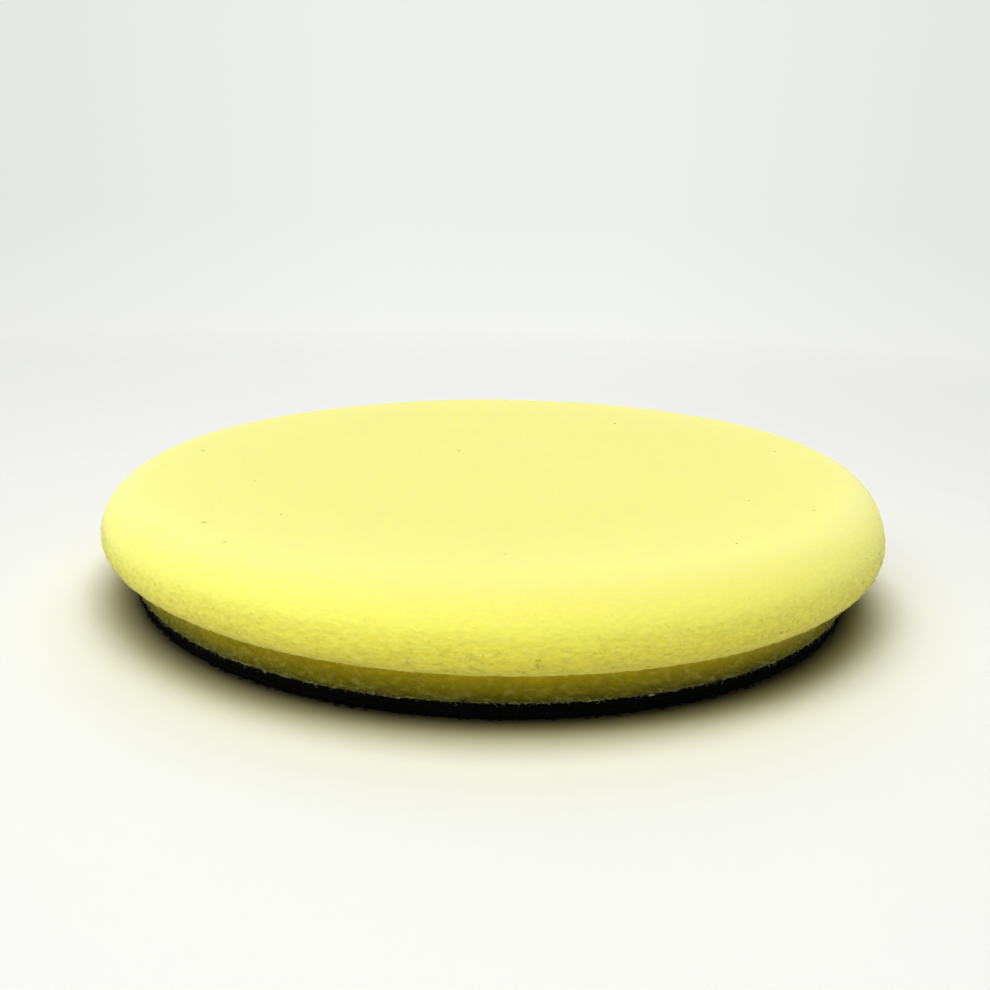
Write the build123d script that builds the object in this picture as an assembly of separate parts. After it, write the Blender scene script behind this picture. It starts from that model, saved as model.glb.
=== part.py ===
from build123d import *
import os

# A foam polishing pad for a machine polisher, 165 mm (6.5 in) across, lying on its loop side.
# Millimetres. The origin is the centre of the loop face, and +Z runs up through the foam to
# the polishing face, so the pad is round about Z.

# Driving dimensions: the foam disc.
PAD_DIAMETER = 165.0
PAD_HEIGHT = 24.5
SHOULDER_RADIUS = 10.5  # rounds the polishing face into the side
LOWER_EDGE_RADIUS = 5.0  # rounds the side into the underside of the overhang
UNDERCUT_FILLET = 1.2  # root of the undercut, between the neck and the overhang
NECK_TOP_DIAMETER = 148.6
NECK_BOTTOM_DIAMETER = 152.8

# Driving dimensions: the bonded layers under the foam, from the floor up.
BACKING_DIAMETER = 152.4  # 6 in, the size of the backing plate it grips
BACKING_CORNER = 0.25  # the shears' rounding on the cut edge of the fabric
LOOP_PILE_HEIGHT = 1.7
GROUND_KNIT_THICKNESS = 0.5
BARRIER_FELT_THICKNESS = 0.8
HOT_MELT_THICKNESS = 0.4

# The loops' tips are brushed over, so the pile's footprint is a little smaller than its root.
PILE_TIP_INSET = 0.5

# Heights worked out from the layers.
PILE_TOP = LOOP_PILE_HEIGHT
KNIT_TOP = PILE_TOP + GROUND_KNIT_THICKNESS
FELT_TOP = KNIT_TOP + BARRIER_FELT_THICKNESS
FOAM_BOTTOM = FELT_TOP + HOT_MELT_THICKNESS

# Heights and radii worked out from the foam's own sizes.
PAD_RADIUS = PAD_DIAMETER / 2
WIDEST_HEIGHT = PAD_HEIGHT - SHOULDER_RADIUS
OVERHANG_HEIGHT = WIDEST_HEIGHT - LOWER_EDGE_RADIUS
FACE_RADIUS = PAD_RADIUS - SHOULDER_RADIUS
OVERHANG_RADIUS = PAD_RADIUS - LOWER_EDGE_RADIUS


def foam_disc():
    """The polyurethane foam: flat face, rounded shoulder, overhang and a flared neck, in one piece."""
    outline = Polyline(
        (0, PAD_HEIGHT),
        (0, FOAM_BOTTOM),
        (NECK_BOTTOM_DIAMETER / 2, FOAM_BOTTOM),
        (NECK_TOP_DIAMETER / 2, OVERHANG_HEIGHT),
        (OVERHANG_RADIUS, OVERHANG_HEIGHT),
    )
    lower_edge = CenterArc((OVERHANG_RADIUS, WIDEST_HEIGHT), LOWER_EDGE_RADIUS, -90, 90)
    shoulder = CenterArc((FACE_RADIUS, WIDEST_HEIGHT), SHOULDER_RADIUS, 0, 90)
    face = Line((FACE_RADIUS, PAD_HEIGHT), (0, PAD_HEIGHT))
    section = Plane.XZ * make_face([outline, lower_edge, shoulder, face])
    body = revolve(section, Axis.Z)
    root = body.edges().filter_by(
        lambda edge: edge.geom_type == GeomType.CIRCLE
        and abs(edge.radius - NECK_TOP_DIAMETER / 2) < UNDERCUT_FILLET
    )
    return fillet(root, UNDERCUT_FILLET)


def layer(bottom, thickness, diameter):
    """A flat round layer of the backing, standing on the height given."""
    return Pos(0, 0, bottom) * Cylinder(
        diameter / 2, thickness, align=(Align.CENTER, Align.CENTER, Align.MIN)
    )


def hot_melt_film():
    """The web of hot-melt glue that bonds the backing to the foam."""
    return layer(FELT_TOP, HOT_MELT_THICKNESS, BACKING_DIAMETER)


def barrier_felt():
    """The thin felt that keeps polish out of the loops and spreads the pull of the plate."""
    return layer(KNIT_TOP, BARRIER_FELT_THICKNESS, BACKING_DIAMETER)


def ground_knit():
    """The knitted ground that the loops grow from, with its sheared edge rounded."""
    knit = layer(PILE_TOP, GROUND_KNIT_THICKNESS, BACKING_DIAMETER)
    return fillet(knit.edges().sort_by(Axis.Z)[:1], BACKING_CORNER)


def loop_pile():
    """The brushed loops as one closed disc, which narrows towards the tips."""
    tip_radius = BACKING_DIAMETER / 2 - BACKING_CORNER - PILE_TIP_INSET
    root_radius = BACKING_DIAMETER / 2 - BACKING_CORNER
    return Cone(
        tip_radius,
        root_radius,
        LOOP_PILE_HEIGHT,
        align=(Align.CENTER, Align.CENTER, Align.MIN),
    )


PARTS = {
    "foam_disc": foam_disc,
    "hot_melt_film": hot_melt_film,
    "barrier_felt": barrier_felt,
    "ground_knit": ground_knit,
    "loop_pile": loop_pile,
}

os.makedirs("parts", exist_ok=True)
for name, make in PARTS.items():
    export_step(make(), f"parts/{name}.step")
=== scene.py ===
import math

import bpy
import numpy as np
from mathutils import Matrix, Vector, noise


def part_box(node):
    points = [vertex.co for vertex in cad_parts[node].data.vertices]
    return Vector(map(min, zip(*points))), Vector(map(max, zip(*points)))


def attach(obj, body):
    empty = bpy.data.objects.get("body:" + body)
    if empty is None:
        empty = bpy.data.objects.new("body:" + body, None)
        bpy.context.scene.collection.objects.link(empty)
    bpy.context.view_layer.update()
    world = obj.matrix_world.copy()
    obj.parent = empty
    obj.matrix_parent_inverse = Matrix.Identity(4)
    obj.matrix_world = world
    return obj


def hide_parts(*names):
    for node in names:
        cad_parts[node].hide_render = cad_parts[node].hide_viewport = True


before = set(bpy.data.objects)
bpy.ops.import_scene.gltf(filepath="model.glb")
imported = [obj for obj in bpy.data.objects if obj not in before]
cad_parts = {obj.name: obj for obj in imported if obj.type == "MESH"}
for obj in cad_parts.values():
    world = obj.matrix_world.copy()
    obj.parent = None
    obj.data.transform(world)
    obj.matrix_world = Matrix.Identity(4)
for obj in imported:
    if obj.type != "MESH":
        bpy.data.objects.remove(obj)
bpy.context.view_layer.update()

# A yellow foam polishing pad, lying on its black loop backing. Metres, in the frame's axes:
# the origin is the centre of the loop face and +Z runs up to the polishing face.

MM = 0.001
TAU = 2 * math.pi

# Sizes that the frame gives.
foam_low, foam_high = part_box("foam_disc")
PAD_RADIUS = foam_high.x
PAD_TOP = foam_high.z
FOAM_BOTTOM = foam_low.z
FELT_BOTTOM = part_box("barrier_felt")[0].z
FELT_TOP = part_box("barrier_felt")[1].z
KNIT_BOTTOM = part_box("ground_knit")[0].z
BACKING_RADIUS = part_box("barrier_felt")[1].x

# The foam's outline.
SHOULDER_RADIUS = 10.5 * MM
LOWER_EDGE_RADIUS = 5 * MM
UNDERCUT_FILLET = 1.2 * MM
NECK_TOP_RADIUS = 74.3 * MM
NECK_BOTTOM_RADIUS = 76.4 * MM
WIDEST_HEIGHT = PAD_TOP - SHOULDER_RADIUS
OVERHANG_HEIGHT = WIDEST_HEIGHT - LOWER_EDGE_RADIUS
FACE_RADIUS = PAD_RADIUS - SHOULDER_RADIUS

PALE_RADIUS = 50 * MM  # the face's painted shading starts to change here

# The face was cut a little out of level: the foam is thicker by this much at its right edge, and
# thinner by as much at its left.
SLANT = 1.6 * MM

# How finely the round bodies are cut. Their segments double from the centre to the rim.
CENTRE_SEGMENTS = 75
SHOULDER_SEGMENTS = 600
RIM_SEGMENTS = 1200
CENTRE_RADIUS = 1 * MM
FACE_CELL = 1.3 * MM  # the widest that a segment may be on a flat face
LEVEL = 0.01 * MM  # points this close to a flat underside belong to it

# How many there are of each fine thing.
NAP_COUNT = 9000
FRAY_COUNT = 1500
GLUE_STRING_COUNT = 420
FELT_FIBRE_COUNT = 4200
RIM_LOOP_COUNT = 1900


# ---------------------------------------------------------------------------- mesh helpers

def smoothstep(low, high, value):
    """0 below low, 1 above high, and a smooth rise between them."""
    t = np.clip((value - low) / (high - low), 0, 1)
    return t * t * (3 - 2 * t)


def noise_at(points, size, seed):
    """Smooth noise from about -1 to 1 at each point, with bumps about size across."""
    shift = Vector((17.3, -9.1, 4.7)) * seed
    return np.array([noise.noise(Vector(p) / size + shift) for p in points])


def ridges_at(points, size, seed):
    """Noise with thin raised lines between shallow hollows, as cell walls have."""
    return 1 - 3 * np.abs(noise_at(points, size, seed))


def new_piece(name, points, face_sets, material, replaces=()):
    """A smooth mesh object from arrays of points and faces, riding on the frame's one body."""
    corners = np.concatenate([faces.ravel() for faces in face_sets])
    sizes = np.concatenate([np.full(len(faces), faces.shape[1]) for faces in face_sets])
    starts = np.concatenate([[0], np.cumsum(sizes)[:-1]])
    mesh = bpy.data.meshes.new(name)
    mesh.vertices.add(len(points))
    mesh.vertices.foreach_set("co", points.astype(np.float32).ravel())
    mesh.loops.add(len(corners))
    mesh.loops.foreach_set("vertex_index", corners.astype(np.int32))
    mesh.polygons.add(len(sizes))
    mesh.polygons.foreach_set("loop_start", starts.astype(np.int32))
    mesh.polygons.foreach_set("use_smooth", np.ones(len(sizes), bool))
    mesh.update(calc_edges=True)
    mesh.validate()
    mesh.materials.append(material)
    piece = bpy.data.objects.new(name, mesh)
    bpy.context.scene.collection.objects.link(piece)
    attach(piece, "root")
    if replaces:
        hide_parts(*replaces)
    return piece


def point_value(piece, name, values):
    """Stores one number for each of the mesh's points, for its material to read."""
    attribute = piece.data.attributes.new(name, "FLOAT", "POINT")
    attribute.data.foreach_set("value", values.astype(np.float32))


def ring_segments(radius):
    """The number of segments for a ring on a flat face: it doubles as the ring grows."""
    count = CENTRE_SEGMENTS
    while TAU * radius / count > FACE_CELL and count < RIM_SEGMENTS:
        count *= 2
    return count


def flat_rings(height, inner, outer, step):
    """Rings of a flat face, as (radius, height, segments), from inner to outer."""
    count = max(2, round(abs(outer - inner) / step))
    radii = np.linspace(inner, outer, count + 1)[:-1]
    return [(radius, height, ring_segments(radius)) for radius in radii]


def arc_rings(centre, radius, start, end, step, segments=RIM_SEGMENTS):
    """Rings along an arc of the outline. Angles are in degrees from straight outwards."""
    count = max(2, round(radius * math.radians(abs(end - start)) / step))
    angles = np.radians(np.linspace(start, end, count + 1)[:-1])
    return [
        (centre[0] + radius * math.cos(a), centre[1] + radius * math.sin(a), segments)
        for a in angles
    ]


def line_rings(start, end, step):
    """Rings along a straight stretch of the outline."""
    count = max(1, round(math.dist(start, end) / step))
    return [
        (start[0] + (end[0] - start[0]) * t, start[1] + (end[1] - start[1]) * t, RIM_SEGMENTS)
        for t in np.arange(count) / count
    ]


def join_rings(first, first_count, second, second_count):
    """Faces between two rings with the same count, or with one count twice the other."""
    if first_count == second_count:
        i = np.arange(first_count)
        j = (i + 1) % first_count
        return [np.stack([first + i, second + i, second + j, first + j], axis=1)]
    flip = first_count > second_count
    inner, outer = (second, first) if flip else (first, second)
    count = min(first_count, second_count)
    i = np.arange(count)
    j = (i + 1) % count
    near = outer + 2 * i
    middle = near + 1
    far = outer + 2 * j
    triangles = [
        np.stack([inner + i, near, middle], axis=1),
        np.stack([inner + i, middle, inner + j], axis=1),
        np.stack([inner + j, middle, far], axis=1),
    ]
    return [t[:, ::-1] for t in triangles] if flip else triangles


def lathe(rings):
    """A closed round body from rings that run from the top's centre over the edge and back in.
    Gives its points, its faces, and for each point its ring's number."""
    points, starts, numbers, faces = [], [], [], []
    total = 0
    for number, (radius, height, count) in enumerate(rings):
        angles = TAU * np.arange(count) / count
        ring = [radius * np.cos(angles), radius * np.sin(angles), np.full(count, height)]
        points.append(np.stack(ring, axis=1))
        starts.append(total)
        numbers.append(np.full(count, number))
        total += count
    for k in range(len(rings) - 1):
        faces += join_rings(starts[k], rings[k][2], starts[k + 1], rings[k + 1][2])
    top = np.arange(rings[0][2])[None, :]
    bottom = (starts[-1] + np.arange(rings[-1][2]))[None, ::-1]
    return np.concatenate(points), faces + [top, bottom], np.concatenate(numbers)


def outline_normals(rings):
    """The outward direction at each ring, as (away from the axis, up)."""
    line = np.array([(radius, height) for radius, height, _ in rings])
    along = np.gradient(line, axis=0)
    along /= np.linalg.norm(along, axis=1, keepdims=True)
    return np.stack([-along[:, 1], along[:, 0]], axis=1)


def tubes(paths, radii, sides=3):
    """Closed tubes along many short paths: paths is (tube, point, 3), radii is (tube, point)."""
    count, length, _ = paths.shape
    along = np.gradient(paths, axis=1)
    along /= np.linalg.norm(along, axis=2, keepdims=True) + 1e-12
    least = np.argmin(np.abs(along.mean(axis=1)), axis=1)
    helper = np.eye(3)[least][:, None, :]
    side = np.cross(along, helper)
    side /= np.linalg.norm(side, axis=2, keepdims=True)
    other = np.cross(along, side)
    angles = TAU * np.arange(sides) / sides
    spread = (
        np.cos(angles)[None, None, :, None] * side[:, :, None, :]
        + np.sin(angles)[None, None, :, None] * other[:, :, None, :]
    )
    points = paths[:, :, None, :] + radii[:, :, None, None] * spread
    index = np.arange(count * length * sides).reshape(count, length, sides)
    following = np.roll(index, -1, axis=2)
    walls = np.stack(
        [index[:, :-1], following[:, :-1], following[:, 1:], index[:, 1:]], axis=-1
    ).reshape(-1, 4)
    caps = np.concatenate([index[:, 0, ::-1], index[:, -1]])
    return points.reshape(-1, 3), [walls, caps]


def unit(vectors):
    """The vectors, each with its length made 1."""
    return vectors / (np.linalg.norm(vectors, axis=-1, keepdims=True) + 1e-12)


# ------------------------------------------------------------------------ material helpers

def add_node(tree, kind, inputs=None, **settings):
    """A new node with its settings, and its inputs linked or given values."""
    made = tree.nodes.new(kind)
    for name, value in settings.items():
        setattr(made, name, value)
    for key, value in (inputs or {}).items():
        if isinstance(value, bpy.types.NodeSocket):
            tree.links.new(value, made.inputs[key])
        else:
            made.inputs[key].default_value = value
    return made


def new_material(name):
    """A node material with only a Principled shader: gives the material, tree and shader."""
    material = bpy.data.materials.new(name)
    material.use_nodes = True
    tree = material.node_tree
    tree.nodes.clear()
    shader = add_node(tree, "ShaderNodeBsdfPrincipled")
    add_node(tree, "ShaderNodeOutputMaterial", {"Surface": shader.outputs[0]})
    return material, tree, shader


def mixed_colour(tree, factor, first, second, blend="MIX"):
    """Two colours blended by a factor: each of the three is a number, a colour or a socket.
    The node's colour sockets are its inputs 6 and 7 and its output 2."""
    made = tree.nodes.new("ShaderNodeMix")
    made.data_type = "RGBA"
    made.blend_type = blend
    for index, value in ((0, factor), (6, first), (7, second)):
        if isinstance(value, bpy.types.NodeSocket):
            tree.links.new(value, made.inputs[index])
        else:
            made.inputs[index].default_value = value
    return made.outputs[2]


def ranged(tree, value, low, high, new_low=0.0, new_high=1.0):
    """The value moved from one range to another, and held inside it."""
    inputs = {
        "Value": value,
        "From Min": low,
        "From Max": high,
        "To Min": new_low,
        "To Max": new_high,
    }
    return add_node(tree, "ShaderNodeMapRange", inputs).outputs[0]


def noise_texture(tree, size, detail=2.0, roughness=0.5, stretch=None):
    """Noise in the object's own axes, with bumps about size across. A stretch below 1 along
    an axis draws the bumps out along it."""
    place = add_node(tree, "ShaderNodeTexCoord").outputs["Object"]
    if stretch:
        place = add_node(
            tree, "ShaderNodeVectorMath", {0: place, 1: stretch}, operation="MULTIPLY"
        ).outputs["Vector"]
    inputs = {"Vector": place, "Scale": 1 / size, "Detail": detail, "Roughness": roughness}
    return add_node(tree, "ShaderNodeTexNoise", inputs).outputs["Fac"]


def maths(tree, operation, *values):
    """A maths node on numbers or sockets."""
    inputs = dict(enumerate(values))
    return add_node(tree, "ShaderNodeMath", inputs, operation=operation).outputs[0]


def bumped(tree, strength, distance, height, below=None):
    """A bump from a height, on top of another bump if one is given. Gives its normal."""
    inputs = {"Strength": strength, "Distance": distance, "Height": height}
    if below:
        inputs["Normal"] = below
    return add_node(tree, "ShaderNodeBump", inputs).outputs[0]


def cell_texture(tree, size):
    """Distance to the middle of the nearest cell, with cells about size across."""
    place = add_node(tree, "ShaderNodeTexCoord").outputs["Object"]
    inputs = {"Vector": place, "Scale": 1 / size}
    return add_node(tree, "ShaderNodeTexVoronoi", inputs).outputs["Distance"]


def attribute_value(tree, name):
    """The number stored under this name for each point of the mesh."""
    return add_node(tree, "ShaderNodeAttribute", attribute_name=name).outputs["Fac"]


# ------------------------------------------------------------------------------- materials

# The foam's colour down its outline, one for each place from FACE to FOOT: the face, the
# shoulder, the upper side, the widest part, the lip, the root of the undercut, and the foot of
# the neck. A place between two whole numbers mixes the two colours. These are lit and shaded
# copies of the one yellow foam. The face is darker and less saturated than the side, standing in
# for the strong light on it and its pale highlight. The lip, the root of the undercut and most of
# all the foot of the neck are darker with painted shade under the overhang and by the floor.
FACE, SHOULDER, SIDE, BELLY, LIP, ROOT, FOOT = range(7)
FOAM_COLOURS_WITH_PAINTED_SHADE = (
    (0.665, 0.645, 0.212, 1),
    (0.748, 0.728, 0.280, 1),
    (0.975, 0.945, 0.25, 1),
    (0.99, 0.915, 0.178, 1),
    (0.82, 0.74, 0.125, 1),
    (0.87, 0.765, 0.052, 1),
    (0.19, 0.178, 0.018, 1),
)
STRUT_HIGHLIGHT_YELLOW = (0.98, 0.95, 0.42, 1)  # painted highlight: the paler colour of the cell walls that stand highest
TORN_YELLOW = (0.78, 0.70, 0.08, 1)
# painted shade under the lifted rim of a torn cell
TORN_SHADE_OLIVE = (0.42, 0.38, 0.09, 1)

# The side was cut as the pad turned, so its grain is drawn out round the pad and short in height.
GRAIN_DRAW = (0.42, 0.42, 1.15)


def foam_material():
    """Open-cell foam: smooth on the face, ground to a grainy nap on the side. Its colour down the
    outline has light and shade painted in: the face is the lit top, and the lip and the cut neck
    are darker with painted shade. The highest cell walls get a painted highlight and the grain
    between them a painted shadow. It reads where the point is on the outline, how ground it is
    and how high its relief is."""
    material, tree, shader = new_material("foam")
    ground = attribute_value(tree, "ground")
    place = attribute_value(tree, "place")
    relief = attribute_value(tree, "relief")
    colour = FOAM_COLOURS_WITH_PAINTED_SHADE[0]
    for number, next_colour in enumerate(FOAM_COLOURS_WITH_PAINTED_SHADE[1:]):
        colour = mixed_colour(tree, ranged(tree, place, number, number + 1), colour, next_colour)
    cloudy = ranged(tree, noise_texture(tree, 14 * MM, 3.0), 0.35, 0.65, 0.0, 0.012)
    colour = mixed_colour(tree, cloudy, colour, FOAM_COLOURS_WITH_PAINTED_SHADE[SIDE])
    # Painted highlight: the higher the relief, the paler the colour.
    strut_highlight = ranged(tree, relief, 0.15, 0.9, 0.0, 0.3)
    colour = mixed_colour(tree, strut_highlight, colour, STRUT_HIGHLIGHT_YELLOW)
    # Painted shadow: the grain between the cell walls is darker on the ground side.
    flecks = ranged(tree, noise_texture(tree, 0.62 * MM, 2.0, 0.5, GRAIN_DRAW), 0.40, 0.62)
    shade = ranged(tree, maths(tree, "MULTIPLY", flecks, ground), 0.0, 1.0, 1.0, 0.90)
    shade = add_node(tree, "ShaderNodeCombineColor", {0: shade, 1: shade, 2: shade}).outputs[0]
    colour = mixed_colour(tree, 1.0, colour, shade, "MULTIPLY")
    tree.links.new(colour, shader.inputs["Base Color"])
    shader.inputs["Roughness"].default_value = 0.92
    shader.inputs["Specular IOR Level"].default_value = 0.15
    shader.inputs["Sheen Weight"].default_value = 0.22
    shader.inputs["Sheen Roughness"].default_value = 0.6
    shader.inputs["Sheen Tint"].default_value = (1.0, 1.0, 0.85, 1)
    shader.inputs["Subsurface Weight"].default_value = 0.7
    shader.inputs["Subsurface Radius"].default_value = (1.0, 0.9, 0.25)
    shader.inputs["Subsurface Scale"].default_value = 6.0 * MM
    cells = cell_texture(tree, 0.55 * MM)
    fine = noise_texture(tree, 0.3 * MM, 2.0)
    strength = ranged(tree, ground, 0.0, 1.0, 0.10, 0.55)
    normal = bumped(tree, strength, 0.14 * MM, cells)
    normal = bumped(tree, strength, 0.08 * MM, fine, normal)
    tree.links.new(normal, shader.inputs["Normal"])
    return material


def torn_cell_material():
    """A torn cell on the face, where the foam's wall has lifted: its dark olive is painted shade
    under the lifted rim.
    """
    material, tree, shader = new_material("torn_cell")
    worn = ranged(tree, noise_texture(tree, 0.5 * MM), 0.35, 0.65)
    colour = mixed_colour(tree, worn, TORN_SHADE_OLIVE, TORN_YELLOW)
    tree.links.new(colour, shader.inputs["Base Color"])
    shader.inputs["Roughness"].default_value = 0.95
    return material


def glue_material():
    """Hot-melt glue web: near black over most of it, and pale and cloudy only in flecks."""
    material, tree, shader = new_material("hot_melt")
    cloudy = ranged(tree, noise_texture(tree, 1.2 * MM, 3.0), 0.35, 0.65)
    colour = mixed_colour(tree, cloudy, (0.34, 0.33, 0.17, 1), (0.52, 0.51, 0.36, 1))
    # Darker patches over most of the glue.
    dark_patches = ranged(tree, noise_texture(tree, 0.9 * MM), 0.60, 0.48)
    colour = mixed_colour(tree, dark_patches, colour, (0.02, 0.02, 0.012, 1))
    tree.links.new(colour, shader.inputs["Base Color"])
    shader.inputs["Roughness"].default_value = 0.45
    normal = bumped(tree, 0.5, 0.1 * MM, noise_texture(tree, 0.6 * MM, 2.0))
    tree.links.new(normal, shader.inputs["Normal"])
    return material


def black_fabric(name, dark, light, grain, sheen, roughness=0.88):
    """A black textile: two near blacks mixed by fibre-sized noise, a dull sheen and a fine bump."""
    material, tree, shader = new_material(name)
    mottle = ranged(tree, noise_texture(tree, grain, 3.0, 0.7), 0.38, 0.66)
    colour = mixed_colour(tree, mottle, dark, light)
    lint = ranged(tree, noise_texture(tree, 9 * MM, 1.0), 0.45, 0.75, 0.0, 0.3)
    colour = mixed_colour(tree, lint, colour, light)
    tree.links.new(colour, shader.inputs["Base Color"])
    shader.inputs["Roughness"].default_value = roughness
    shader.inputs["Specular IOR Level"].default_value = 0.2
    shader.inputs["Sheen Weight"].default_value = sheen
    shader.inputs["Sheen Roughness"].default_value = 0.5
    normal = bumped(tree, 0.6, 0.1 * MM, noise_texture(tree, grain * 0.6, 3.0, 0.7))
    tree.links.new(normal, shader.inputs["Normal"])
    return material


foam = foam_material()
torn = torn_cell_material()
glue = glue_material()
felt_black = black_fabric(
    "felt",
    dark=(0.006, 0.006, 0.006, 1),
    light=(0.016, 0.015, 0.014, 1),
    grain=0.25 * MM,
    sheen=0.02,
)
knit_black = black_fabric(
    "knit",
    dark=(0.007, 0.007, 0.007, 1),
    light=(0.018, 0.018, 0.018, 1),
    grain=0.2 * MM,
    sheen=0.02,
)
mat_black = black_fabric(
    "pile",
    dark=(0.005, 0.005, 0.005, 1),
    light=(0.014, 0.014, 0.014, 1),
    grain=0.3 * MM,
    sheen=0.01,
)
loop_black = black_fabric(
    "loops",
    dark=(0.014, 0.014, 0.014, 1),
    light=(0.034, 0.034, 0.036, 1),
    grain=0.3 * MM,
    sheen=0.03,
    roughness=0.55,
)


# -------------------------------------------------------------------------------- the foam

def foam_rings():
    """Rings over the whole foam, and for each how ground its surface is and its place on the
    outline, from FACE to FOOT."""
    shoulder = (FACE_RADIUS, WIDEST_HEIGHT)
    edge = (PAD_RADIUS - LOWER_EDGE_RADIUS, WIDEST_HEIGHT)
    root = (NECK_TOP_RADIUS + UNDERCUT_FILLET, OVERHANG_HEIGHT - UNDERCUT_FILLET)
    under_edge = (edge[0], OVERHANG_HEIGHT)
    under_root = (root[0], OVERHANG_HEIGHT)
    neck_top = (NECK_TOP_RADIUS, root[1])
    neck_foot = (NECK_BOTTOM_RADIUS, FOAM_BOTTOM)

    def shoulder_arc(start, end, step, segments=RIM_SEGMENTS):
        return arc_rings(shoulder, SHOULDER_RADIUS, start, end, step, segments)

    def edge_arc(start, end, step):
        return arc_rings(edge, LOWER_EDGE_RADIUS, start, end, step)

    # Each stretch: its rings, how ground its first and last ring are, and their places.
    # face_rim and low_shoulder set where the shoulder's painted highlight falls on the outline.
    face_rim = FACE + 0.3
    low_shoulder = SHOULDER + 0.34
    stretches = (
        (flat_rings(PAD_TOP, CENTRE_RADIUS, PALE_RADIUS, 2 * MM), 0, 0, FACE, FACE),
        (flat_rings(PAD_TOP, PALE_RADIUS, FACE_RADIUS, 2 * MM), 0, 0, FACE, face_rim),
        (shoulder_arc(90, 62, 0.75 * MM, SHOULDER_SEGMENTS), 0, 0.02, face_rim, SHOULDER),
        (shoulder_arc(62, 45, 0.75 * MM, SHOULDER_SEGMENTS), 0.02, 0.08, SHOULDER, low_shoulder),
        (shoulder_arc(45, 22, 0.42 * MM), 0.08, 0.35, low_shoulder, SIDE),
        (shoulder_arc(22, 0, 0.32 * MM), 0.35, 1, SIDE, BELLY),
        (edge_arc(0, -40, 0.32 * MM), 1, 0.8, BELLY, LIP),
        (edge_arc(-40, -90, 0.42 * MM), 0.8, 0.6, LIP, LIP),
        (line_rings(under_edge, under_root, 0.5 * MM), 0.6, 0.6, LIP, ROOT),
        (arc_rings(root, UNDERCUT_FILLET, 90, 180, 0.4 * MM), 0.6, 0.8, ROOT, ROOT),
        (line_rings(neck_top, neck_foot, 0.42 * MM), 0.8, 1, ROOT, FOOT),
        (flat_rings(FOAM_BOTTOM, NECK_BOTTOM_RADIUS, CENTRE_RADIUS, 6 * MM), 1, 1, FOOT, FOOT),
        ([(CENTRE_RADIUS, FOAM_BOTTOM, CENTRE_SEGMENTS)], 1, 1, FOOT, FOOT),
    )
    rings, ground, place = [], [], []
    for part, first_ground, last_ground, first_place, last_place in stretches:
        rings += part
        ground += list(np.linspace(first_ground, last_ground, len(part), endpoint=len(part) == 1))
        place += list(np.linspace(first_place, last_place, len(part), endpoint=len(part) == 1))
    return rings, np.array(ground), np.array(place)


def face_sway(points):
    """The foam's slow unevenness: a knife cut is never quite flat."""
    return 0.15 * MM * noise_at(points, 34 * MM, 9)


def foam_relief(points, ground):
    """How far the foam's surface stands out, and the part of that which is its grain."""
    drawn = points * np.array(GRAIN_DRAW)
    grain = 0.5 * ridges_at(drawn, 0.8 * MM, 3) + 0.7 * noise_at(drawn, 0.55 * MM, 5)
    lumps = noise_at(points, 3.2 * MM, 7)
    height = MM * ground * (0.17 * grain + 0.04 * lumps) + face_sway(points)
    return height, grain


def slanted(points):
    """The points moved up or down by the slant, fully on the face and not at all under the lip."""
    share = smoothstep(OVERHANG_HEIGHT, PAD_TOP, points[:, 2])
    moved = points.copy()
    moved[:, 2] += SLANT * share * points[:, 0] / PAD_RADIUS
    return moved


def revolve_direction(points, away, up):
    """Directions given as (away from the axis, up), turned to each point's own side."""
    angle = np.arctan2(points[:, 1], points[:, 0])
    return np.stack([away * np.cos(angle), away * np.sin(angle), up], axis=1)


def make_foam(rings, ground_of, place_of):
    """The foam's body, with its relief, and the numbers that its material reads."""
    points, faces, number = lathe(rings)
    normals = outline_normals(rings)[number]
    ground = ground_of[number]
    height, grain = foam_relief(points, ground)
    hidden = points[:, 2] < FOAM_BOTTOM + LEVEL
    height[hidden] = 0
    points = points + height[:, None] * revolve_direction(points, normals[:, 0], normals[:, 1])
    piece = new_piece("foam_pad", slanted(points), faces, foam, ["foam_disc"])
    point_value(piece, "ground", ground)
    point_value(piece, "place", place_of[number])
    # The relief also sets the painted highlight on the highest cell walls.
    point_value(piece, "relief", grain * ground)


def scatter_on_foam(rings, ground_of, place_of, count, draw):
    """Random spots on the ground side and neck, denser where it is more ground.
    Gives each spot's point, outward direction, groundness and place on the outline."""
    line = np.array([(radius, height) for radius, height, _ in rings])
    length = np.linalg.norm(np.diff(line, axis=0), axis=1)
    shown = line[:-1, 1] > FOAM_BOTTOM + LEVEL
    weight = length * ground_of[:-1] ** 2 * shown
    ring = draw.choice(len(weight), count, p=weight / weight.sum())
    t = draw.random(count)[:, None]
    spot = line[ring] * (1 - t) + line[ring + 1] * t
    angle = draw.random(count) * TAU
    normals = outline_normals(rings)[ring]
    points = np.stack([spot[:, 0] * np.cos(angle), spot[:, 0] * np.sin(angle), spot[:, 1]], axis=1)
    outward = revolve_direction(points, normals[:, 0], normals[:, 1])
    return points, outward, ground_of[ring], place_of[ring]


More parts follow.
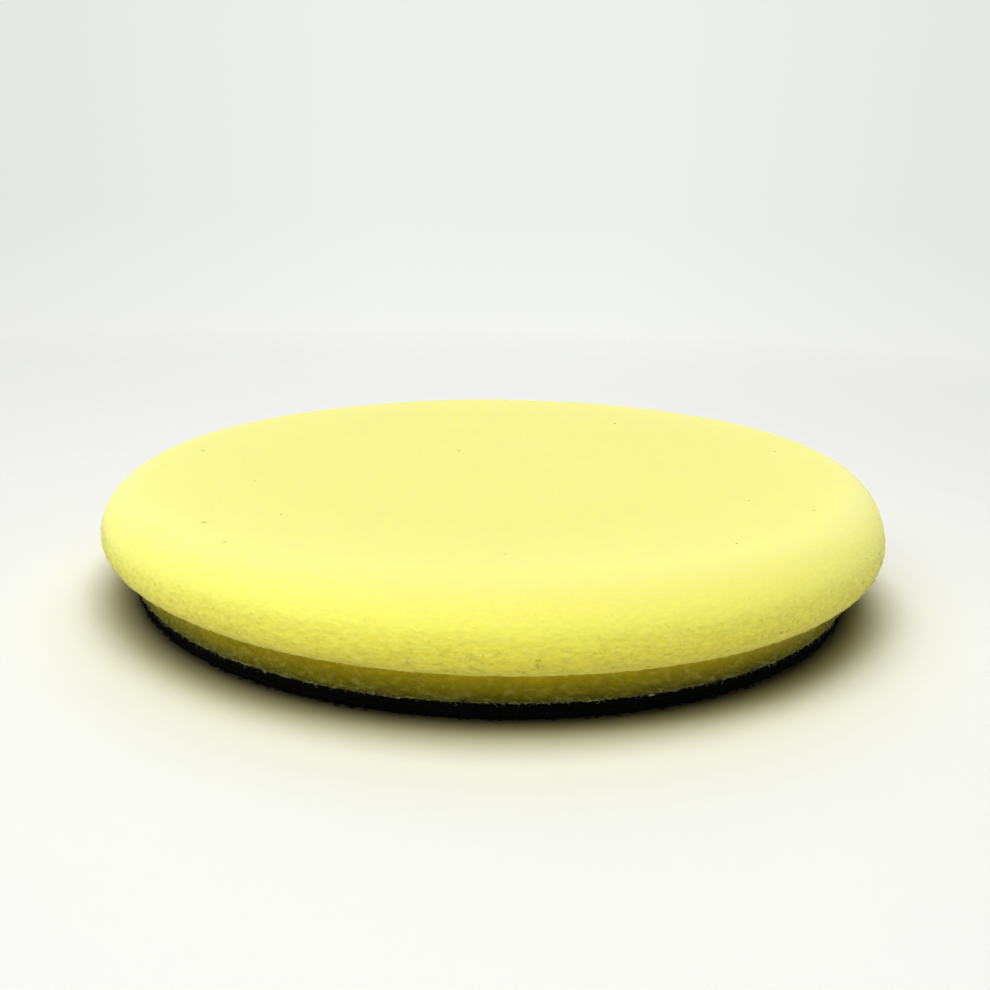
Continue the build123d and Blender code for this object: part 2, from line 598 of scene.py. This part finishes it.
def make_foam_nap(rings, ground_of, place_of):
    """Torn cell walls that stand up from the ground side: short bridges, and free whiskers."""
    draw = np.random.default_rng(11)
    count = NAP_COUNT
    points, outward, ground, place = scatter_on_foam(rings, ground_of, place_of, count, draw)
    height, _ = foam_relief(points, ground)
    base = points + outward * (height - 0.01 * MM)[:, None]
    lie = unit(np.cross(outward, unit(draw.normal(size=(count, 3)) * [0.4, 0.4, 1.0])))
    length = MM * np.clip(draw.lognormal(-0.4, 0.4, count), 0.3, 1.6) * smoothstep(0, 0.5, ground)
    free = draw.random(count) < 0.3
    t = np.linspace(0, 1, 3)[None, :]
    bridge_lift = (0.16 * length[:, None]) * 4 * t * (1 - t)
    whisker_lift = 0.35 * length[:, None] * t**1.4
    lift = np.where(free[:, None], whisker_lift, bridge_lift)
    reach = np.where(free[:, None], 0.6 * length[:, None] * t, length[:, None] * (t - 0.5))
    paths = (
        base[:, None, :]
        + lie[:, None, :] * reach[..., None]
        + outward[:, None, :] * lift[..., None]
    )
    thick = MM * draw.uniform(0.035, 0.07, count)
    shape = np.where(free[:, None], 1 - 0.7 * t, 0.5 + 2.0 * t * (1 - t))
    made, faces = tubes(paths, thick[:, None] * shape)
    piece = new_piece("foam_nap", slanted(made), faces, foam)
    each = len(made) // count
    point_value(piece, "ground", np.repeat(ground, each))
    point_value(piece, "place", np.repeat(place, each))
    # A random relief gives each fibre more or less of the painted highlight.
    point_value(piece, "relief", np.repeat(draw.uniform(0.1, 0.9, count), each))


def make_neck_fray():
    """Shreds of foam that hang from the knife cut at the foot of the neck."""
    draw = np.random.default_rng(23)
    count = FRAY_COUNT
    angle = draw.random(count) * TAU
    height = FOAM_BOTTOM + MM * np.abs(draw.normal(0, 0.35, count))
    radius = NECK_BOTTOM_RADIUS - (height - FOAM_BOTTOM) * 0.45
    outward = np.stack([np.cos(angle), np.sin(angle), np.zeros(count)], axis=1)
    around = np.stack([-np.sin(angle), np.cos(angle), np.zeros(count)], axis=1)
    start = outward * radius[:, None]
    start[:, 2] = height
    length = MM * np.clip(draw.lognormal(-0.45, 0.4, count), 0.3, 1.5)
    t = np.linspace(0, 1, 5)[None, :, None]
    swing = draw.normal(0, 0.7, count)[:, None, None]
    drop = draw.uniform(-0.15, 0.75, count)[:, None, None]
    out = draw.uniform(0.15, 0.7, count)[:, None, None]
    down = np.array([0, 0, -1.0])
    bend = (
        out * outward[:, None, :] * (t - 0.4 * t**2)
        + swing * around[:, None, :] * t
        + drop * down * t**1.6
    )
    paths = start[:, None, :] + length[:, None, None] * bend
    thick = MM * draw.uniform(0.04, 0.10, count)[:, None] * np.linspace(1, 0.35, 5)[None, :]
    made, faces = tubes(paths, thick)
    piece = new_piece("neck_fray", made, faces, foam)
    each = len(made) // count
    point_value(piece, "ground", np.ones(len(made)))
    # The shreds take the neck's colours, painted shade included.
    point_value(piece, "place", np.repeat(ROOT + draw.uniform(0.2, 0.9, count), each))
    point_value(piece, "relief", np.repeat(draw.uniform(-0.2, 0.8, count), each))


# Torn cells on the face, as (x, y) in millimetres, where the foam's skin has lifted a little.
TORN_CELLS = (
    (-50, -51), (-48, -23), (-66, 4), (-38, -46), (-44, -62), (2, -67),
    (48, -35), (40, -61), (59, -41), (64, 7), (-8, 5), (31, 38),
)


def make_torn_cells():
    """Each torn cell is a small curled lip: a crescent tube lying on the face."""
    draw = np.random.default_rng(31)
    count = len(TORN_CELLS)
    centre = MM * np.array([(x, y, 0) for x, y in TORN_CELLS], float)
    centre[:, 2] = PAD_TOP + face_sway(centre + [0, 0, PAD_TOP]) + 0.03 * MM
    size = MM * draw.uniform(0.35, 0.65, count)
    turn = draw.uniform(-0.7, 0.7, count)
    t = np.linspace(-1, 1, 9)[None, :]
    angle = turn[:, None] + math.pi / 2 + draw.uniform(0.6, 1.15, count)[:, None] * t
    paths = np.stack(
        [
            centre[:, :1] + size[:, None] * np.cos(angle),
            centre[:, 1:2] + size[:, None] * (np.sin(angle) - 1) * 0.7,
            centre[:, 2:] + 0.08 * MM * (1 - t**2) * np.ones((count, 1)),
        ],
        axis=-1,
    )
    heavier_end = draw.uniform(-0.8, 0.8, count)[:, None]
    thick = 0.11 * size[:, None] * (1.12 - t**2) * (1 + heavier_end * t)
    made, faces = tubes(paths, thick, sides=6)
    new_piece("torn_cells", slanted(made), faces, torn)


# ------------------------------------------------------------------- the bonded backing

def make_hot_melt():
    """The glue film: its rim squeezes out in small beads between the foam and the felt."""
    middle = (FELT_TOP + FOAM_BOTTOM) / 2
    half = (FOAM_BOTTOM - FELT_TOP) / 2
    rim = BACKING_RADIUS - half
    rings = flat_rings(FOAM_BOTTOM, CENTRE_RADIUS, rim, 6 * MM)
    rings += arc_rings((rim, middle), half, 90, -90, 0.1 * MM)
    rings += flat_rings(FELT_TOP, rim, CENTRE_RADIUS, 6 * MM)
    rings += [(CENTRE_RADIUS, FELT_TOP, CENTRE_SEGMENTS)]
    points, faces, _ = lathe(rings)
    radius = np.hypot(points[:, 0], points[:, 1])
    beads = np.clip(noise_at(points, 1.6 * MM, 41), 0, 1) ** 1.5
    ripple = noise_at(points, 0.7 * MM, 43)
    push = MM * smoothstep(rim - 2 * MM, rim, radius) * (0.9 * beads + 0.08 * ripple)
    points[:, :2] *= (1 + push / radius)[:, None]
    new_piece("glue_line", points, faces, glue, ["hot_melt_film"])


def make_glue_strings():
    """Fine strings and flecks of glue drawn out along the joint, over the felt's edge."""
    draw = np.random.default_rng(47)
    count = GLUE_STRING_COUNT
    angle = draw.random(count) * TAU
    start_height = FELT_TOP + MM * draw.uniform(-0.15, 0.55, count)
    radius = BACKING_RADIUS + MM * draw.uniform(0.0, 0.25, count)
    span = MM * np.clip(draw.lognormal(-0.35, 0.5, count), 0.3, 2.2)
    t = np.linspace(-0.5, 0.5, 5)[None, :]
    turn = angle[:, None] + span[:, None] * t / radius[:, None]
    wave = MM * 0.12 * np.sin(5 * t + draw.random(count)[:, None] * TAU)
    height = start_height[:, None] + wave + MM * draw.normal(0, 0.12, count)[:, None] * t
    reach = radius[:, None] + MM * 0.10 * (1 - 4 * t**2)
    paths = np.stack([reach * np.cos(turn), reach * np.sin(turn), height], axis=-1)
    thick = MM * draw.uniform(0.03, 0.09, count)[:, None] * (1.1 - 3 * t**2)
    made, faces = tubes(paths, thick)
    new_piece("glue_strings", made, faces, glue)


def make_felt():
    """The barrier felt: a thin disc whose cut edge is soft and uneven."""
    corner = 0.3 * MM
    corner_foot = (BACKING_RADIUS, FELT_TOP - corner)
    edge_foot = (BACKING_RADIUS, FELT_BOTTOM)
    rings = flat_rings(FELT_TOP, CENTRE_RADIUS, BACKING_RADIUS - corner, 6 * MM)
    rings += arc_rings((BACKING_RADIUS - corner, FELT_TOP - corner), corner, 90, 0, 0.12 * MM)
    rings += line_rings(corner_foot, edge_foot, 0.15 * MM)
    rings += flat_rings(FELT_BOTTOM, BACKING_RADIUS, CENTRE_RADIUS, 6 * MM)
    rings += [(CENTRE_RADIUS, FELT_BOTTOM, CENTRE_SEGMENTS)]
    points, faces, _ = lathe(rings)
    radius = np.hypot(points[:, 0], points[:, 1])
    edge = smoothstep(BACKING_RADIUS - 1.5 * MM, BACKING_RADIUS, radius)
    waves = 0.22 * noise_at(points, 2.4 * MM, 51) + 0.10 * noise_at(points, 0.7 * MM, 53)
    push = MM * edge * waves
    rise = MM * edge * np.clip(noise_at(points, 1.3 * MM, 57), 0, 1) * 0.35
    points[:, :2] *= (1 + push / radius)[:, None]
    points[:, 2] += rise * (points[:, 2] > (FELT_TOP + FELT_BOTTOM) / 2)
    return new_piece("felt_layer", points, faces, felt_black, ["barrier_felt"])


def make_felt_fibres():
    """Loose fibres round the felt's cut edge, some of them lying up against the foam."""
    draw = np.random.default_rng(59)
    count = FELT_FIBRE_COUNT
    angle = draw.random(count) * TAU
    height = draw.uniform(FELT_BOTTOM, FELT_TOP + 0.1 * MM, count)
    outward = np.stack([np.cos(angle), np.sin(angle), np.zeros(count)], axis=1)
    around = np.stack([-np.sin(angle), np.cos(angle), np.zeros(count)], axis=1)
    up = np.array([0, 0, 1.0])
    start = outward * (BACKING_RADIUS - 0.1 * MM)
    start[:, 2] = height
    length = MM * np.clip(draw.lognormal(-0.5, 0.45, count), 0.25, 1.7)
    t = np.linspace(0, 1, 5)[None, :, None]
    out = draw.uniform(0.2, 0.8, count)[:, None, None]
    swing = draw.normal(0, 0.8, count)[:, None, None]
    climb = draw.normal(0.1, 0.4, count)[:, None, None]
    bend = (
        out * outward[:, None, :] * (t - 0.5 * t**2)
        + swing * around[:, None, :] * (t + 0.3 * t**2)
        + climb * up * t**1.5
    )
    paths = start[:, None, :] + length[:, None, None] * bend
    thick = MM * draw.uniform(0.02, 0.042, count)[:, None] * np.linspace(1, 0.5, 5)[None, :]
    made, faces = tubes(paths, thick)
    return new_piece("felt_fibres", made, faces, felt_black)


WALE_PITCH = 1.4 * MM
COURSE_PITCH = 1.3 * MM


def make_knit():
    """The knitted ground's body: a thin disc with a sheared, wavy edge."""
    corner = 0.2 * MM
    low = KNIT_BOTTOM + 0.12 * MM
    sheared = BACKING_RADIUS - 0.1 * MM
    rings = flat_rings(FELT_BOTTOM, CENTRE_RADIUS, sheared, 2.5 * MM)
    rings += line_rings((sheared, FELT_BOTTOM), (sheared, low), 0.15 * MM)
    rings += flat_rings(low, BACKING_RADIUS - corner, CENTRE_RADIUS, 1 * MM)
    rings += [(CENTRE_RADIUS, low, CENTRE_SEGMENTS)]
    points, faces, _ = lathe(rings)
    radius = np.hypot(points[:, 0], points[:, 1])
    edge = smoothstep(BACKING_RADIUS - 2 * MM, BACKING_RADIUS, radius)
    waves = 0.12 * noise_at(points, 1.8 * MM, 61) + 0.06 * noise_at(points, 0.6 * MM, 63)
    push = MM * edge * waves
    points[:, :2] *= (1 + push / radius)[:, None]
    wale = np.cos(TAU * points[:, 0] / WALE_PITCH)
    course = np.cos(TAU * points[:, 1] / COURSE_PITCH)
    under = points[:, 2] < low + LEVEL
    points[:, 2] += MM * under * (0.05 * wale * course + 0.05 * noise_at(points, 4 * MM, 67))
    return new_piece("knit_ground", points, faces, knit_black, ["ground_knit"])


def make_knit_yarns():
    """The yarns under the ground: a zigzag chain up each wale, crossed by the courses' inlay."""
    reach = BACKING_RADIUS - 0.1 * MM
    height = KNIT_BOTTOM + 0.10 * MM
    draw = np.random.default_rng(71)
    points, walls, caps, total = [], [], [], 0
    wales = np.arange(-reach + WALE_PITCH / 2, reach, WALE_PITCH)
    courses = np.arange(-reach + COURSE_PITCH / 2, reach, COURSE_PITCH)
    yarns = [(x, COURSE_PITCH / 2, True) for x in wales]
    yarns += [(y, WALE_PITCH, False) for y in courses]
    for across, pitch, is_wale in yarns:
        half = math.sqrt(max(reach**2 - across**2, 0)) + MM * draw.uniform(0.0, 0.5)
        count = max(4, int(2 * half / pitch))
        run = np.linspace(-half, half, count)
        swing = WALE_PITCH * (0.22 if is_wale else 0.05) * np.where(np.arange(count) % 2, 1, -1)
        lift = MM * (0.04 if is_wale else 0.12) + MM * 0.03 * draw.normal(size=count)
        line = across + swing + MM * 0.04 * draw.normal(size=count)
        x, y = (line, run) if is_wale else (run, line)
        path = np.stack([x, y, height + lift], axis=1)[None]
        made, (wall, cap) = tubes(path, np.full((1, count), 0.13 * MM))
        points.append(made)
        walls.append(wall + total)
        caps.append(cap + total)
        total += len(made)
    return new_piece(
        "knit_yarns",
        np.concatenate(points),
        [np.concatenate(walls), np.concatenate(caps)],
        knit_black,
    )


PILE_MAT_BOTTOM = 0.95 * MM
PILE_EDGE_BOTTOM = 0.12 * MM  # the tangle is matted down to the floor along the sheared edge


def make_pile_mat():
    """The brushed body of the pile: a dense tangle that the single loops stand out of."""
    edge = BACKING_RADIUS
    widest = (edge, KNIT_BOTTOM - 0.5 * MM)
    sheared = (edge - 0.8 * MM, PILE_EDGE_BOTTOM)
    matted = (edge - 1.6 * MM, PILE_EDGE_BOTTOM)
    loose = (edge - 2.5 * MM, PILE_MAT_BOTTOM)
    rings = flat_rings(KNIT_BOTTOM, CENTRE_RADIUS, edge, 6 * MM)
    rings += line_rings((edge, KNIT_BOTTOM), widest, 0.25 * MM)
    rings += line_rings(widest, sheared, 0.2 * MM)
    rings += line_rings(sheared, matted, 0.35 * MM)
    rings += line_rings(matted, loose, 0.3 * MM)
    rings += flat_rings(PILE_MAT_BOTTOM, loose[0], CENTRE_RADIUS, 0.8 * MM)
    rings += [(CENTRE_RADIUS, PILE_MAT_BOTTOM, CENTRE_SEGMENTS)]
    points, faces, _ = lathe(rings)
    radius = np.hypot(points[:, 0], points[:, 1])
    tangle = 0.5 * ridges_at(points, 0.9 * MM, 81) + 0.5 * noise_at(points, 0.6 * MM, 83)
    rim = smoothstep(edge - 2 * MM, edge, radius)
    clumps = noise_at(points, 2.6 * MM, 87)
    points[:, :2] *= (1 + MM * rim * (0.16 * tangle + 0.15 * clumps) / radius)[:, None]
    under = smoothstep(PILE_MAT_BOTTOM + 0.2 * MM, PILE_MAT_BOTTOM, points[:, 2])
    points[:, 2] += MM * (0.05 + 0.15 * (1 - rim)) * under * tangle
    return new_piece("pile_mat", points, faces, mat_black, ["loop_pile"])


def stitch_roots(draw):
    """Where each loop stands: on the stitches over the disc, and closer together at its edge."""
    reach = BACKING_RADIUS - 0.9 * MM
    steps = int(reach / min(WALE_PITCH, COURSE_PITCH)) + 1
    wale, course = np.meshgrid(np.arange(-steps, steps + 1), np.arange(-steps, steps + 1))
    inner = np.stack([wale.ravel() * WALE_PITCH, course.ravel() * COURSE_PITCH], axis=1)
    inner += MM * draw.normal(0, 0.16, inner.shape)
    inner = inner[np.hypot(inner[:, 0], inner[:, 1]) < reach]
    angle = draw.random(RIM_LOOP_COUNT) * TAU
    radius = BACKING_RADIUS - MM * draw.uniform(0.45, 1.4, RIM_LOOP_COUNT)
    rim = np.stack([radius * np.cos(angle), radius * np.sin(angle)], axis=1)
    return np.concatenate([inner, rim])


def make_loops():
    """The pile: one real loop of yarn from each stitch, brushed over and pressed by the floor.
    The loops are four pieces, one for each quarter of the disc."""
    draw = np.random.default_rng(73)
    root = stitch_roots(draw)
    count = len(root)
    t = np.linspace(0, 1, 7)[None, :]
    wide = MM * draw.uniform(0.22, 0.5, count)[:, None]
    deep = KNIT_BOTTOM * draw.uniform(0.9, 1.1, count)[:, None]
    turn = draw.normal(0, 0.9, count)[:, None]
    lean_way = draw.uniform(0, TAU, count)[:, None]
    lean = MM * draw.uniform(0.05, 0.7, count)[:, None]
    outside = np.hypot(root[:, 0], root[:, 1])[:, None]
    at_rim = smoothstep(BACKING_RADIUS - 2 * MM, BACKING_RADIUS - 1 * MM, outside)
    splay = 0.9 * at_rim * draw.random(count)[:, None]
    spread = -np.cos(math.pi * t) * (1 + 0.5 * np.sin(math.pi * t))
    hang = np.sin(math.pi * t) ** 0.8
    tip = lean * hang**1.5
    x = root[:, :1] * (1 + splay * tip / outside) + wide * spread * np.cos(turn)
    y = root[:, 1:] * (1 + splay * tip / outside) + wide * spread * np.sin(turn)
    x += (1 - 0.8 * at_rim) * tip * np.cos(lean_way)
    y += (1 - 0.8 * at_rim) * tip * np.sin(lean_way)
    thick = MM * draw.uniform(0.055, 0.085, count)[:, None] * np.ones((1, 7))
    z = np.maximum(KNIT_BOTTOM + 0.1 * MM - deep * hang, thick)
    paths = np.stack([x, y, z], axis=-1)
    pieces = []
    quarter = (root[:, 0] > 0).astype(int) + 2 * (root[:, 1] > 0)
    for k in range(4):
        made, faces = tubes(paths[quarter == k], thick[quarter == k])
        pieces.append(
            new_piece(f"pile_loops_{k + 1}", made, faces, loop_black, ["loop_pile"])
        )
    return pieces


rings, ground_of, place_of = foam_rings()
make_foam(rings, ground_of, place_of)
make_foam_nap(rings, ground_of, place_of)
make_neck_fray()
make_torn_cells()
make_hot_melt()
make_glue_strings()
felt = make_felt()
felt_fibres = make_felt_fibres()
knit = make_knit()
knit_yarns = make_knit_yarns()
pile_mat = make_pile_mat()
loops = make_loops()


# -------------------------------------------------------------------- floor, light, camera

FLOOR_INNER_RADIUS = 0.35
FLOOR_RADIUS = 1.6
FLOOR_SEGMENTS = 96
FADE_START = 0.15  # beyond this radius the floor fades into the backdrop
FADE_END = 0.5
NEAR_PAD = 36 * MM  # how far from the backing the painted bounce light and shadow reach
FLOOR_PALE = (0.70, 0.705, 0.683, 1)
FLOOR_MOTTLE = (0.65, 0.65, 0.63, 1)
FLOOR_PAINTED_BOUNCE = (0.70, 0.685, 0.50, 1)  # painted yellow bounce light on the floor round the pad
FLOOR_PAINTED_SHADOW = (0.20, 0.19, 0.12, 1)  # painted contact shadow, darkest where the pad touches the floor
BACKDROP_LOW = (0.645, 0.65, 0.635, 1)
BACKDROP_HIGH = (0.61, 0.62, 0.607, 1)
FILL = 0.01  # the strength of the even light from all round


def make_floor():
    """A round pale floor, with a painted yellow bounce light and a painted contact shadow round the
    pad, which fades into the backdrop's colour far from the pad.
    """
    count = FLOOR_SEGMENTS
    angles = TAU * np.arange(count) / count
    circle = np.stack([np.cos(angles), np.sin(angles), np.zeros(count)], axis=1)
    points = np.concatenate([FLOOR_INNER_RADIUS * circle, FLOOR_RADIUS * circle])
    mesh = bpy.data.meshes.new("floor")
    inner = [tuple(range(count))]
    outer = [
        (i, count + i, count + (i + 1) % count, (i + 1) % count) for i in range(count)
    ]
    mesh.from_pydata(points.tolist(), [], inner + outer)
    floor = bpy.data.objects.new("floor", mesh)
    bpy.context.scene.collection.objects.link(floor)
    material, tree, shader = new_material("floor")
    mottle = ranged(tree, noise_texture(tree, 60 * MM), 0.3, 0.7, 0.0, 0.04)
    colour = mixed_colour(tree, mottle, FLOOR_PALE, FLOOR_MOTTLE)
    place = add_node(tree, "ShaderNodeTexCoord").outputs["Object"]
    from_middle = add_node(tree, "ShaderNodeVectorMath", {0: place}, operation="LENGTH")
    distance = from_middle.outputs["Value"]
    # Painted light and shade near the pad: a yellow bounce light, and a dark contact shadow closest
    # to the backing.
    near = ranged(tree, distance, BACKING_RADIUS + NEAR_PAD, BACKING_RADIUS)
    colour = mixed_colour(tree, maths(tree, "POWER", near, 3.0), colour, FLOOR_PAINTED_BOUNCE)
    colour = mixed_colour(tree, maths(tree, "POWER", near, 12.0), colour, FLOOR_PAINTED_SHADOW)
    tree.links.new(colour, shader.inputs["Base Color"])
    shader.inputs["Roughness"].default_value = 0.6
    shader.inputs["Specular IOR Level"].default_value = 0.1
    fade = ranged(tree, distance, FADE_END, FADE_START)
    tree.links.new(fade, shader.inputs["Alpha"])
    mesh.materials.append(material)


def make_world():
    """The camera sees a plain pale backdrop, and the pad gets only a faint even fill from it."""
    world = bpy.data.worlds.new("studio")
    bpy.context.scene.world = world
    world.use_nodes = True
    tree = world.node_tree
    tree.nodes.clear()
    way = add_node(tree, "ShaderNodeTexCoord").outputs["Generated"]
    parts = add_node(tree, "ShaderNodeSeparateXYZ", {0: way})
    high = ranged(tree, parts.outputs["Z"], -0.12, 0.0)
    shown = mixed_colour(tree, high, BACKDROP_LOW, BACKDROP_HIGH)
    aside = maths(tree, "ABSOLUTE", parts.outputs["X"])
    dimming = ranged(tree, aside, 0.12, 0.5, 1.0, 0.92)
    backdrop = add_node(tree, "ShaderNodeBackground", {"Color": shown, "Strength": dimming})
    fill = add_node(tree, "ShaderNodeBackground", {"Color": (1.0, 1.0, 1.0, 1), "Strength": FILL})
    seen = add_node(tree, "ShaderNodeLightPath").outputs["Is Camera Ray"]
    shaders = {0: seen, 1: fill.outputs[0], 2: backdrop.outputs[0]}
    both = add_node(tree, "ShaderNodeMixShader", shaders)
    add_node(tree, "ShaderNodeOutputWorld", {"Surface": both.outputs[0]})


def make_softbox(name, place, width, height, watts):
    """A rectangular area light, aimed at the pad's middle."""
    light = bpy.data.lights.new(name, "AREA")
    light.shape = "RECTANGLE"
    light.size = width
    light.size_y = height
    light.energy = watts
    lamp = bpy.data.objects.new(name, light)
    lamp.location = place
    aim = Vector((0, 0, PAD_TOP / 2)) - Vector(place)
    lamp.rotation_euler = aim.to_track_quat("-Z", "Y").to_euler()
    bpy.context.scene.collection.objects.link(lamp)


CAMERA_LENS = 36.4
CAMERA_DISTANCE = 2.786 * PAD_RADIUS
CAMERA_ELEVATION = math.radians(19.2)
AIM_HEIGHT = 0.19 * PAD_RADIUS
AIM_SIDE = 0.3 * MM
CAMERA_ROLL = math.radians(1.45)


def make_camera():
    """The camera stands close and low in front of the pad, a little off its middle line."""
    data = bpy.data.cameras.new("camera")
    data.lens = CAMERA_LENS
    data.sensor_width = 36
    data.clip_start = 0.01
    data.clip_end = 20
    camera = bpy.data.objects.new("camera", data)
    camera.location = (
        0,
        -CAMERA_DISTANCE * math.cos(CAMERA_ELEVATION),
        CAMERA_DISTANCE * math.sin(CAMERA_ELEVATION),
    )
    aim = Vector((AIM_SIDE, 0, AIM_HEIGHT)) - camera.location
    turn = aim.to_track_quat("-Z", "Y").to_matrix() @ Matrix.Rotation(CAMERA_ROLL, 3, "Z")
    camera.rotation_euler = turn.to_euler()
    bpy.context.scene.collection.objects.link(camera)
    bpy.context.scene.camera = camera


make_floor()
make_world()
make_softbox("softbox_top", (0, 0, 1.3), 1.0, 1.0, 11.9)
make_softbox("softbox_front_left", (-0.75, -0.6, 0.95), 0.8, 0.8, 4.55)
make_softbox("softbox_front_right", (0.75, -0.6, 0.95), 0.8, 0.8, 0.95)
make_softbox("softbox_right", (1.2, 0, 0.35), 0.8, 0.5, 0.74)
make_softbox("softbox_back", (0, 1.0, 0.9), 0.8, 0.8, 3.2)
make_softbox("softbox_front", (0, -1.2, 0.35), 0.8, 0.5, 1.6)
make_camera()
bpy.context.scene.view_settings.view_transform = "Standard"
bpy.context.scene.view_settings.look = "High Contrast"
